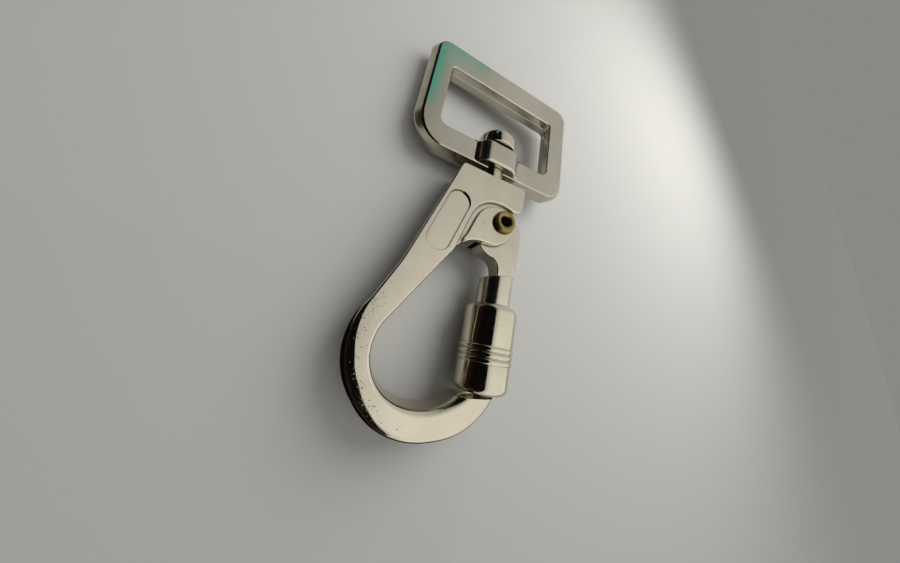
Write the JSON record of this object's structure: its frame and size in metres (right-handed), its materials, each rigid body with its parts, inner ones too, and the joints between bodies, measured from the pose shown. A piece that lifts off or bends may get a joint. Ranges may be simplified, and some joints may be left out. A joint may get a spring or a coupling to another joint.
{
  "type": "screw gate carabiner",
  "caption": "Screw gate carabiner: cast hook with a hinged gate, a screw sleeve that locks it and a swivelling rectangular loop for a strap.",
  "frame": {"origin": "centre of the hook's round seat, half way through the thickness", "axes": "+Y along the swivel axis from the hook to the strap loop, +X towards the gate, +Z out of the front face"},
  "size_m": [0.0381, 0.0759, 0.01],
  "materials": {
    "cast_body": "nickel plated casting, satin gloss",
    "gate": "nickel plated casting, satin gloss",
    "sleeve": "nickel plated, mirror polish",
    "rivet": "dull brass",
    "spring_wire": "bare spring wire",
    "loop": "nickel plated casting, satin gloss",
    "stud": "nickel plated, polished"
  },
  "bodies": {
    "hook": {"hook_body": "cast_body", "swivel_stud": "stud", "hinge_rivet": "rivet", "gate_spring": "spring_wire"},
    "gate_arm": {"gate": "gate"},
    "sleeve": {"lock_sleeve": "sleeve"},
    "loop": {"strap_loop": "loop"}
  },
  "joints": [
    {"name": "gate_hinge", "type": "hinge", "parent": "hook", "child": "gate_arm", "pos_m": [0.0098, 0.0256, 0], "axis": [0, 0, -1], "range_deg": [0, 25], "stiffness_Nm_per_rad": 0.15, "springref_deg": -45.84},
    {"name": "sleeve_slide", "type": "slide", "parent": "gate_arm", "child": "sleeve", "axis": [0.0244, 0.9997, 0], "range_m": [-0.0006, 0.0048]},
    {"name": "loop_swivel", "type": "hinge", "parent": "hook", "child": "loop", "pos_m": [0.007, 0.04, 0], "axis": [0, 1, 0], "continuous": true}
  ]
}
